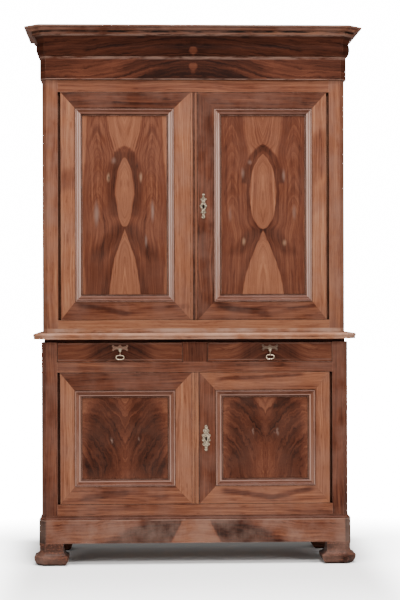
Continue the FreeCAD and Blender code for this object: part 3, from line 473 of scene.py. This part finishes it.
def figured(name, seam, base, leaves, flow, spots=(), arches=None, seed=0.0, streaks=0.5,
            warp=0.02, curl=0.0, back=None, **finish):
    """Veneer with a figure, book-matched at its seam.

    Each leaf is (low, high, half width, shares, soft, centre, lean, tone, strength), each spot
    is (x, z, half width, half height, colour, strength), and arches are (centre, steepness,
    half width, low, strength) of a column of pointed arches on each side. Past back, which is a
    Y, the wood is plain."""
    material, w, place = surface(name)
    at = w.split(place)
    u = w.sized(w.less(at["X"], seam))
    folded = w.join(w.add(u, seed), 0.0, at["Z"])
    other = w.moved(folded, (3.7, 0.0, 1.9))
    shift = w.times(w.less(w.noise(folded, (9, 1, 6), 3, 0.55), 0.5), warp)
    drop = w.times(w.less(w.noise(other, (9, 1, 6), 3), 0.5), warp)
    if curl:
        shift = w.add(shift, w.times(w.less(w.noise(folded, (60, 1, 30), 3, 0.6), 0.5), curl))
        drop = w.add(drop, w.times(w.less(w.noise(other, (60, 1, 30), 3, 0.6), 0.5), curl))
    bent_u = w.add(u, shift)
    bent_z = w.add(at["Z"], drop)
    tone = base
    if arches:
        centre, steep, half, low, strength = arches
        away = w.less(bent_u, centre)
        lean = w.math("SQRT", w.add(w.times(away, away), ARCH_ROUND ** 2))
        level = w.add(bent_z, w.times(lean, steep))
        lines = w.less(w.noise(w.join(level, seed, 0.0), (26, 1, 1), 4, 0.65), 0.5)
        share = w.times(w.less(1.0, w.ramp_up(w.sized(away), half * 0.5, half)),
                        w.ramp_up(at["Z"], low, low + 0.15))
        tone = w.add(tone, w.times(w.times(lines, share), strength))
    for low, high, half, shares, soft, centre, lean, value, strength in leaves:
        mask = w.leaf(bent_u, bent_z, low, high, half, shares, soft, centre, lean)
        hairs = w.noise(w.moved(other, (value, 0.0, 0.0)), (150, 1, 16), 3, 0.65)
        hairs = w.add(1.0, w.times(w.less(hairs, 0.5), min(1.0, soft * 60)))
        tone = w.mix(w.math("MULTIPLY", w.times(mask, hairs), strength, clamp=True), tone, value)
    across, along = flow(w, bent_u, bent_z)
    grain, shown = w.join(across, seed, along), 1.0
    if back is not None:
        behind = w.ramp_up(at["Y"], back, back + 0.001)
        grain = w.mix_vector(behind, grain, along_z(w, place, seed))
        tone = w.mix(behind, tone, BACK_TONE)
        shown = w.less(1.0, behind)
    made = w.group(WALNUT, Vector=grain, Tone=tone, Streaks=streaks)
    colour = made["Color"]
    for x, z, wide, tall, tint, strength in spots:
        mask = w.spot(w.add(at["X"], shift), bent_z, (x, z), (wide, tall))
        colour = w.tint(w.times(w.times(mask, strength), shown), colour, tint)
    return waxed(material, w, place, colour, made["Roughness"], made["Height"], **finish)


def upright_flow(low, high, half, shares):
    """Grain that runs up beside the light middle of a panel."""
    def flow(w, u, z):
        middle = w.times(w.profile(w.ramp_up(z, low, high, False), shares), half)
        fade = w.math("DIVIDE", 1.0, w.add(1.0, w.math("POWER", w.times(u, 18.0), 2.0)))
        return w.less(u, w.times(middle, fade)), z
    return flow


def fountain_flow(eye_u, eye_z, tall):
    """Grain that rises beside the seam, fans out and falls over on both sides."""
    def flow(w, u, z):
        across = w.less(u, eye_u)
        up = w.times(w.less(z, eye_z), 1 / tall)
        reach = w.math("SQRT", w.add(w.times(across, across), w.times(up, up)))
        turn = w.math("ARCTAN2", up, w.times(across, -1.0))
        return reach, w.times(turn, 0.22)
    return flow


def level_flow(lift=0.0, width=0.2):
    """Grain that runs across, lifted into an arch at the seam."""
    def flow(w, u, z):
        arch = w.times(w.math("EXPONENT", w.times(w.math("POWER", w.times(u, 1 / width), 2.0),
                                                  -1.0)), lift)
        return w.less(z, arch), u
    return flow


def lights():
    """A key light above the camera, two tall soft boxes at the sides and a broad one overhead."""
    boxes = {
        "key_soft_box": ((0.9, -5.2, 4.6), (1.0, 1.0), 300),
        "left_soft_box": ((-3.6, -3.7, 2.4), (1.0, 2.2), 110),
        "right_soft_box": ((3.6, -3.7, 2.4), (1.0, 2.2), 130),
        "overhead_soft_box": ((0.0, -1.4, 5.8), (3.4, 2.6), 940),
    }
    for name, (place, sides, power) in boxes.items():
        data = bpy.data.lights.new(name, "AREA")
        data.shape = "RECTANGLE"
        data.size, data.size_y = sides
        data.energy = power
        lamp = bpy.data.objects.new(name, data)
        aim = Vector((0, -0.2, 1.2)) - Vector(place)
        turn = aim.to_track_quat("-Z", "Y").to_matrix().to_4x4()
        lamp.matrix_world = Matrix.Translation(place) @ turn
        bpy.context.scene.collection.objects.link(lamp)


def camera():
    data = bpy.data.cameras.new("camera")
    data.sensor_width = SENSOR
    data.lens = SENSOR * CAMERA_FOCAL_PIXELS / PICTURE_HIGH
    data.shift_y = CAMERA_DROP_PIXELS / PICTURE_HIGH
    data.clip_end = 60
    made = bpy.data.objects.new("camera", data)
    made.matrix_world = (Matrix.Translation(CAMERA_PLACE)
                         @ Matrix.Rotation(-CAMERA_TURN, 4, "Z")
                         @ Matrix.Rotation(math.pi / 2 + CAMERA_TILT, 4, "X")
                         @ Matrix.Rotation(-CAMERA_ROLL, 4, "Z"))
    bpy.context.scene.collection.objects.link(made)
    bpy.context.scene.camera = made


def studio():
    """Pale floor with a painted glow, seen only by the camera, which is nil round the cupboard and
    brightens into a white surround.
    """
    bpy.ops.mesh.primitive_plane_add(size=FLOOR_SIZE)
    floor = bpy.context.object
    floor.name = "studio_floor"
    material, w, place = surface("pale floor")
    at = w.split(place)
    aside = w.top(w.less(w.sized(at["X"]), SHADE_HALF_WIDTH), 0.0)
    behind = w.top(w.less(at["Y"], SHADE_HALF_DEPTH), 0.0)
    before = w.top(w.times(w.add(at["Y"], SHADE_HALF_DEPTH), -FRONT_GLOW_SHARE), 0.0)
    ahead = w.top(behind, before)
    away = w.math("SQRT", w.add(w.times(aside, aside), w.times(ahead, ahead)))
    # Painted glow: the floor emits light that only the camera sees, rising away from the cupboard.
    glow = w.add(w.times(w.ramp_up(away, 0.0, GLOW_REACH), SURROUND_GLOW),
                 w.times(w.ramp_up(away, 0.0, NEAR_REACH), NEAR_GLOW))
    seen = w.node("ShaderNodeLightPath").outputs["Is Camera Ray"]
    shader = w.node("ShaderNodeBsdfPrincipled", Base_Color=PALE_FLOOR, Roughness=0.75,
                    Emission_Color=(1.0, 1.0, 1.0), Emission_Strength=w.times(glow, seen))
    w.feed(w.node("ShaderNodeOutputMaterial").inputs["Surface"], shader.outputs[0])
    floor.data.materials.append(material)
    world = bpy.data.worlds.new("studio surround")
    bpy.context.scene.world = world
    world.use_nodes = True
    world.node_tree.nodes.clear()
    w = Wires(world.node_tree)
    seen = w.node("ShaderNodeLightPath").outputs["Is Camera Ray"]
    light = w.node("ShaderNodeBackground", Color=(1.0, 1.0, 1.0),
                   Strength=w.mix(seen, AMBIENT, SURROUND_GLOW))
    w.feed(w.node("ShaderNodeOutputWorld").inputs["Surface"], light.outputs[0])


def dress(node, material):
    """Gives a CAD piece its finish."""
    mesh = nodes[node].data
    mesh.materials.clear()
    mesh.materials.append(material)


camera()
lights()
studio()

STRAIGHT = ((0, 1), (1, 1))
CONE = ((0, 1), (0.4, 0.78), (0.72, 0.42), (1, 0))
ALMOND = ((0, 0), (0.08, 0.55), (0.28, 0.9), (0.47, 1), (0.72, 0.85), (0.9, 0.45), (1, 0))
ARCH = ((0, 0.8), (0.3, 0.95), (0.6, 1), (0.85, 0.62), (1, 0))
BALL = ((0, 0), (0.1, 0.6), (0.3, 0.92), (0.5, 1), (0.7, 0.92), (0.9, 0.6), (1, 0))
WIDEN = ((0, 0.6), (1, 1))

# Painted highlight bands along the mouldings, as the door frames take them.
PAINTED_HIGHLIGHT_BANDS = {"upper": ((0.0030, 0.0055, 0.30, 0.20), (0.0080, 0.0140, 0.38, 0.02),
                  (0.0165, 0.0245, 0.40, 0.06)),
        "lower": ((0.0030, 0.0060, 0.24, 0.20), (0.0200, 0.0240, 0.24, 0.22))}

# Tones of left stile, right stile, bottom rail and top rail, then the dark sweeps.
DOOR_LOOKS = {
    ("upper", "left"): ((0.76, 0.72, 0.50, 0.24),
                        [((-0.52, 1.150), (-0.30, 1.112), 0.012, -0.30),
                         ((-0.30, 1.115), (-0.03, 1.150), 0.010, -0.18),
                         ((-0.62, 1.700), (-0.53, 1.720), 0.045, -0.20)]),
    ("upper", "right"): ((0.30, 0.82, 0.50, 0.28),
                         [((0.10, 1.150), (0.34, 1.108), 0.014, -0.34),
                          ((0.34, 1.112), (0.56, 1.150), 0.010, -0.16),
                          ((0.53, 1.780), (0.60, 1.840), 0.120, -0.30),
                          ((0.53, 1.600), (0.60, 1.650), 0.040, -0.16)]),
    ("lower", "left"): ((0.78, 0.76, 0.54, 0.34),
                        [((-0.50, 0.300), (-0.30, 0.318), 0.013, -0.32),
                         ((-0.30, 0.318), (-0.12, 0.300), 0.010, -0.20)]),
    ("lower", "right"): ((0.38, 0.66, 0.68, 0.66),
                         [((0.12, 0.325), (0.34, 0.300), 0.012, -0.42),
                          ((0.34, 0.300), (0.52, 0.330), 0.011, -0.40),
                          ((0.10, 0.820), (0.48, 0.842), 0.008, -0.35)]),
}
for i, ((case, side), (tones, sweeps)) in enumerate(DOOR_LOOKS.items()):
    dress("%s_%s_door_frame" % (case, side),
          door_frame(case, side, tones, sweeps, 1.7 * i, PAINTED_HIGHLIGHT_BANDS[case]))

SCUFF = (0.1050, 0.0640, 0.0500)
PALE_KNOT = (0.2400, 0.1400, 0.0850)
DARK_KNOT = (0.0060, 0.0034, 0.0024)

upper_left_shares = ((0, 0.9), (0.17, 0.68), (0.28, 0.38), (0.37, 0), (0.39, 0), (0.45, 0.3),
                     (0.57, 0.5), (0.68, 0.42), (0.77, 0.05), (0.83, 0.3), (1, 1))
dress("upper_left_door_panel", figured(
    "upper left veneer", -0.3115, 0.44,
    [(1.84, 2.02, 0.080, WIDEN, 0.005, 0, 0, 0.70, 0.95),
     (1.55, 1.87, 0.080, ARCH, 0.012, 0, 0, 0.22, 0.7),
     (1.36, 1.52, 0.036, STRAIGHT, 0.022, 0.125, -0.72, 0.16, 0.65),
     (1.17, 1.50, 0.108, CONE, 0.014, 0, 0, 0.18, 0.7),
     (1.17, 1.42, 0.044, BALL, 0.035, 0.135, 0, 0.26, 0.5),
     (1.17, 1.493, 0.074, CONE, 0.003, 0, 0, 0.69, 1),
     (1.503, 1.817, 0.041, ALMOND, 0.003, 0, 0, 0.67, 1),
     (1.56, 2.02, 0.022, ((0, 0), (1, 1)), 0.004, 0.189, 0, 0.78, 0.85),
     (1.17, 1.50, 0.014, ((0, 1), (1, 0)), 0.006, 0.189, 0, 0.74, 0.7)],
    upright_flow(1.19, 2.001, 0.080, upper_left_shares),
    [(-0.440, 1.561, 0.018, 0.080, SCUFF, 0.75), (-0.188, 1.574, 0.012, 0.065, SCUFF, 0.8),
     (-0.216, 1.439, 0.009, 0.040, SCUFF, 0.7), (-0.360, 1.800, 0.016, 0.022, SCUFF, 0.5),
     (-0.383, 1.725, 0.011, 0.030, PALE_KNOT, 0.45), (-0.381, 1.722, 0.006, 0.018, DARK_KNOT, 0.9),
     (-0.237, 1.725, 0.010, 0.034, PALE_KNOT, 0.4), (-0.255, 1.775, 0.008, 0.020, DARK_KNOT, 0.7)],
    arches=(0.121, 2.7, 0.050, 1.50, 0.9), seed=2.0, streaks=0.4, curl=0.005, back=-0.128,
    dust=0.1))
upper_right_shares = ((0, 1), (0.15, 0.82), (0.27, 0.42), (0.35, 0), (0.37, 0.1), (0.42, 0.5),
                      (0.54, 0.6), (0.7, 0.47), (0.79, 0.05), (0.84, 0.4), (1, 0.9))
dress("upper_right_door_panel", figured(
    "upper right veneer", 0.3125, 0.42,
    [(1.80, 2.03, 0.092, WIDEN, 0.012, 0, 0, 0.64, 0.8),
     (1.70, 1.88, 0.108, ((0, 0.86), (0.4, 0.75), (0.8, 0.4), (1, 0)), 0.008, 0, 0, 0.12, 0.8),
     (1.70, 1.85, 0.080, ((0, 0.86), (0.4, 0.75), (0.8, 0.4), (1, 0)), 0.010, 0, 0, 0.42, 0.8),
     (1.49, 1.835, 0.070, ALMOND, 0.014, 0, 0, 0.18, 0.7),
     (1.38, 1.51, 0.036, STRAIGHT, 0.022, 0.125, -0.9, 0.16, 0.65),
     (1.18, 1.50, 0.122, CONE, 0.014, 0, 0, 0.22, 0.6),
     (1.18, 1.482, 0.096, CONE, 0.003, 0, 0, 0.70, 1),
     (1.492, 1.835, 0.058, ALMOND, 0.003, 0, 0, 0.68, 1)],
    upright_flow(1.197, 2.008, 0.094, upper_right_shares),
    [(0.220, 1.745, 0.012, 0.035, SCUFF, 0.5), (0.405, 1.735, 0.012, 0.040, SCUFF, 0.6),
     (0.252, 1.795, 0.014, 0.016, SCUFF, 0.45), (0.225, 1.437, 0.012, 0.024, PALE_KNOT, 0.4),
     (0.410, 1.432, 0.015, 0.020, PALE_KNOT, 0.35), (0.165, 1.560, 0.012, 0.045, SCUFF, 0.35),
     (0.455, 1.568, 0.014, 0.045, SCUFF, 0.45)],
    arches=(0.140, 2.9, 0.045, 1.48, 0.8), seed=5.0, streaks=0.4, curl=0.005, back=-0.128,
    dust=0.1))
dress("lower_left_door_panel", figured(
    "lower left veneer", -0.3115, 0.30,
    [(0.36, 0.78, 0.030, STRAIGHT, 0.020, 0.190, 0, 0.50, 0.75),
     (0.69, 0.78, 0.120, WIDEN, 0.030, 0.130, 0, 0.52, 0.75),
     (0.40, 0.72, 0.050, BALL, 0.035, 0.110, 0.05, 0.06, 0.75),
     (0.37, 0.50, 0.060, BALL, 0.030, 0.120, 0, 0.10, 0.65),
     (0.52, 0.66, 0.022, BALL, 0.018, 0.040, 0.10, 0.08, 0.75),
     (0.36, 0.58, 0.034, ((0, 1), (0.4, 0.62), (1, 0.15)), 0.016, 0, 0, 0.50, 0.7),
     (0.665, 0.78, 0.030, STRAIGHT, 0.012, 0.055, 0.55, 0.12, 0.7),
     (0.640, 0.78, 0.052, ((0, 0), (0.45, 0.5), (1, 1)), 0.010, 0, 0, 0.55, 0.85)],
    fountain_flow(0.215, 0.400, 1.35),
    [(-0.372, 0.560, 0.008, 0.018, SCUFF, 0.8), (-0.251, 0.566, 0.006, 0.016, SCUFF, 0.5),
     (-0.366, 0.562, 0.003, 0.008, DARK_KNOT, 0.8), (-0.355, 0.600, 0.008, 0.010, DARK_KNOT, 0.6)],
    seed=8.0, streaks=0.42, warp=0.07, curl=0.034, back=-0.233, dust=0.1))
dress("lower_right_door_panel", figured(
    "lower right veneer", 0.3125, 0.33,
    [(0.36, 0.78, 0.024, STRAIGHT, 0.020, 0.192, 0, 0.54, 0.75),
     (0.70, 0.78, 0.070, WIDEN, 0.030, 0.150, 0, 0.54, 0.65),
     (0.42, 0.72, 0.050, BALL, 0.035, 0.110, 0.04, 0.14, 0.65),
     (0.37, 0.50, 0.055, BALL, 0.030, 0.125, 0, 0.14, 0.6),
     (0.54, 0.68, 0.020, BALL, 0.018, 0.036, 0.12, 0.10, 0.7),
     (0.36, 0.58, 0.036, ((0, 1), (0.4, 0.62), (1, 0.15)), 0.016, 0, 0, 0.46, 0.7),
     (0.680, 0.78, 0.026, STRAIGHT, 0.012, 0.050, 0.70, 0.06, 0.85),
     (0.660, 0.78, 0.050, ((0, 0), (0.45, 0.5), (1, 1)), 0.010, 0, 0, 0.55, 0.85)],
    fountain_flow(0.220, 0.410, 1.35),
    [(0.258, 0.590, 0.008, 0.020, SCUFF, 0.6), (0.366, 0.590, 0.008, 0.022, SCUFF, 0.7),
     (0.362, 0.592, 0.003, 0.008, DARK_KNOT, 0.8), (0.352, 0.695, 0.016, 0.016, DARK_KNOT, 0.7)],
    seed=11.0, streaks=0.42, warp=0.07, curl=0.034, back=-0.233, dust=0.1))

dress("plinth_lengths", figured(
    "plinth veneer", 0.002, 0.52,
    [(0.09, 0.215, 0.020, STRAIGHT, 0.004, 0.684, 0, -0.10, 0.85),
     (0.09, 0.215, 0.165, ((0, 1), (0.5, 0.8), (1, 0.45)), 0.045, 0.255, -1.30, 0.04, 0.9),
     (0.09, 0.215, 0.112, ((0, 1), (1, 0.52)), 0.005, 0, 0, 0.62, 0.95)],
    level_flow(0.05, 0.3), seed=14.0, warp=0.022, curl=0.008, dust=0.45,
    greyed=DUSTY_PLINTH, courses=[(0.1985, 0.002, 0.7, WEAR_AND_HIGHLIGHT_LINE)]))
dress("frieze_lengths", figured(
    "frieze veneer", -0.002, 0.20,
    [(2.16, 2.27, 0.200, STRAIGHT, 0.110, 0, 0, 0.02, 0.85),
     (2.16, 2.27, 0.110, STRAIGHT, 0.040, 0.430, 0, 0.40, 0.5),
     (2.205, 2.242, 0.020, BALL, 0.005, 0, 0, 0.42, 0.9),
     (2.190, 2.206, 0.010, BALL, 0.004, 0, 0, 0.30, 0.8)],
    level_flow(0.10, 0.35), seed=17.0, streaks=0.5, curl=0.016, dust=0.0,
    courses=[(2.166, 0.0025, 0.6, WEAR_AND_HIGHLIGHT_LINE), (2.258, 0.003, 0.5, WEAR_AND_HIGHLIGHT_LINE)]))
dress("cornice_ogee_lengths", figured(
    "ogee veneer", -0.002, 0.16,
    [(2.25, 2.37, 0.180, STRAIGHT, 0.110, 0, 0, 0.0, 0.85),
     (2.275, 2.312, 0.019, BALL, 0.005, 0, 0, 0.40, 0.9),
     (2.262, 2.276, 0.010, BALL, 0.004, 0, 0, 0.32, 0.8)],
    level_flow(0.06, 0.35), seed=20.0, streaks=0.42, curl=0.016, dust=0.0, wax=0.0,
    courses=[(2.264, 0.0035, 0.75, WEAR_AND_HIGHLIGHT_LINE), (2.3595, 0.004, 0.6, WEAR_AND_HIGHLIGHT_LINE)]))
for side, way in (("left", -1), ("right", 1)):
    dress(side + "_drawer_front", figured(
        side + " drawer veneer", way * 0.333, 0.44,
        [(0.88, 1.0, 0.075, STRAIGHT, 0.040, 0.050, 0, 0.16, 0.9),
         (0.88, 1.0, 0.045, STRAIGHT, 0.035, 0.190, 0, 0.46, 0.7)],
        level_flow(0.08, 0.12), seed=23.0 + way, streaks=0.5, curl=0.012, back=-0.245, dust=0.05,
        courses=[(0.9085, 0.002, 0.35, WEAR_AND_HIGHLIGHT_LINE), (0.9795, 0.002, 0.3, WEAR_AND_HIGHLIGHT_LINE)]))

walnut_pieces = {
    "lower_front_posts": wood("lower post walnut", along_z, 0.36, seed=1, dust=0.35, tones=[
        (-1, 0, 0.001, "X", 0.07), (0.18, 0.32, 0.08, "Z", -0.16)]),
    "upper_front_posts": wood("upper post walnut", along_z, 0.62, seed=4, dust=0.5, tones=[
        (-1, 0, 0.001, "X", 0.04)]),
    "lower_front_rails": wood("lower rail walnut", along_x, 0.36, 0.7, seed=6, dust=0.35, tones=[
        (0.18, 0.29, 0.004, "Z", 0.20)]),
    "upper_front_rails": wood("upper rail walnut", along_x, 0.56, seed=7, dust=0.15, tones=[
        (1.0, 1.1, 0.004, "Z", 0.34)]),
    "drawer_divider": wood("divider walnut", along_z, 0.30, seed=9, dust=0.1),
    "waist_board": wood("waist board walnut", along_x, 0.80, 0.9, seed=10, dust=0.6,
                        greyed=WORN_WAIST),
    "upper_base_lengths": wood("base walnut", along_x, 0.84, 1.0, seed=13, dust=0.9,
                               greyed=WORN_WAIST),
    # The bearers are toned almost black as painted shade in the recess under the waist board.
    "waist_bearers": wood("bearer walnut", along_x, 0.10, seed=12, dust=0.0, edges=0.1),
    "base_moulding_lengths": wood("base moulding walnut", along_x, 0.24, seed=15, dust=0.3),
    # Crown: the dark course near its foot is a painted shadow under its overhang, and the pale
    # course at its top is part wear, part painted highlight.
    "cornice_crown_lengths": wood("crown walnut", along_x, 0.50, 0.8, seed=16, dust=0.6, courses=[
        (2.3740, 0.0045, 1.0, GRIME_AND_SHADE), (2.3965, 0.0035, 0.6, WEAR_AND_HIGHLIGHT_LINE)]),
    "front_feet": wood("foot walnut", along_x, 0.15, 0.6, seed=18, dust=0.65, chips=2.6, tones=[
        (0.0, 0.03, 0.012, "Z", -0.10), (0.06, 0.085, 0.006, "Z", -0.12)]),
    "rear_feet": wood("rear foot walnut", along_x, 0.32, seed=19, dust=0.4),
    "lower_side_panels": wood("lower side walnut", along_z, 0.50, 0.7, seed=21),
    "upper_side_panels": wood("upper side walnut", along_z, 0.50, 0.7, seed=22),
    "lower_side_and_rear_frame": wood("lower side frame walnut", along_z, 0.46, seed=24),
    "upper_side_and_rear_frame": wood("upper side frame walnut", along_z, 0.46, seed=25),
    # The meeting strips' beads are toned lighter as painted highlights, and their middle grooves
    # darker as painted shade.
    "upper_meeting_strip": wood("upper strip walnut", along_z, 0.44, seed=27, dust=0.3, tones=[
        (-0.0150, -0.0065, 0.0012, "X", 0.34), (0.0065, 0.0130, 0.0012, "X", 0.26),
        (-0.0035, 0.0035, 0.0012, "X", -0.2)]),
    "lower_meeting_strip": wood("lower strip walnut", along_z, 0.52, seed=28, dust=0.3, tones=[
        (-0.0145, 0.0145, 0.0012, "X", 0.30), (-0.0035, 0.0035, 0.0012, "X", -0.12)]),
}
for name, finish in walnut_pieces.items():
    dress(name, finish)

level_boards = wood("level inner boards", along_x, 0.55, seed=30, kind=INNER_WOOD, dust=0.1)
deep_boards = wood("front to back inner boards", along_y, 0.50, seed=33, kind=INNER_WOOD, dust=0.1)
upright_boards = wood("back boards", along_z, 0.45, 0.7, seed=36, kind=INNER_WOOD, dust=0.2)
drawer_wood = wood("drawer wood", along_y, 0.60, seed=39, kind=INNER_WOOD, dust=0.1)
for case in CASES:
    dress(case + "_back_boards", upright_boards)
    dress(case + "_floor_board", level_boards)
    dress(case + "_shelf_cleats", deep_boards)
for name in ("lower_shelf", "upper_shelves", "upper_top_boards"):
    dress(name, level_boards)
for name in ("drawer_runners", "locating_pegs"):
    dress(name, deep_boards)

ring_brass = metal("old brass", PALE_BRASS, TARNISH, 0.34, 0.5)
iron = metal("wrought iron", IRON, RUST, 0.55, 0.45)
KEYHOLES = {"upper": (0.043, 1.593), "lower": (0.048, 0.557)}
WINGS = {"left": (-0.333, 0.951, 0.012, (0.125, 0.050, 0.032)),
         "right": (0.333, 0.951, 0.014, (0.050, 0.020, 0.014))}
for case in CASES:
    dress(case + "_escutcheon", metal(case + " key plate brass", PALE_BRASS, TARNISH, 0.40, 0.5,
                                      relief=1.2, keyhole=KEYHOLES[case]))
    for piece in ("hinge_pins", "left_door_irons", "lock_case", "lock_bolt", "slide_bolt"):
        dress("%s_%s" % (case, piece), iron)
for side in ("left", "right"):
    dress(side + "_drawer_box", drawer_wood)
    dress(side + "_pull_plate", metal(side + " plate brass", PALE_BRASS, TARNISH, 0.36, 0.5,
                                      wings=WINGS[side]))
    dress(side + "_pull_ring", ring_brass)
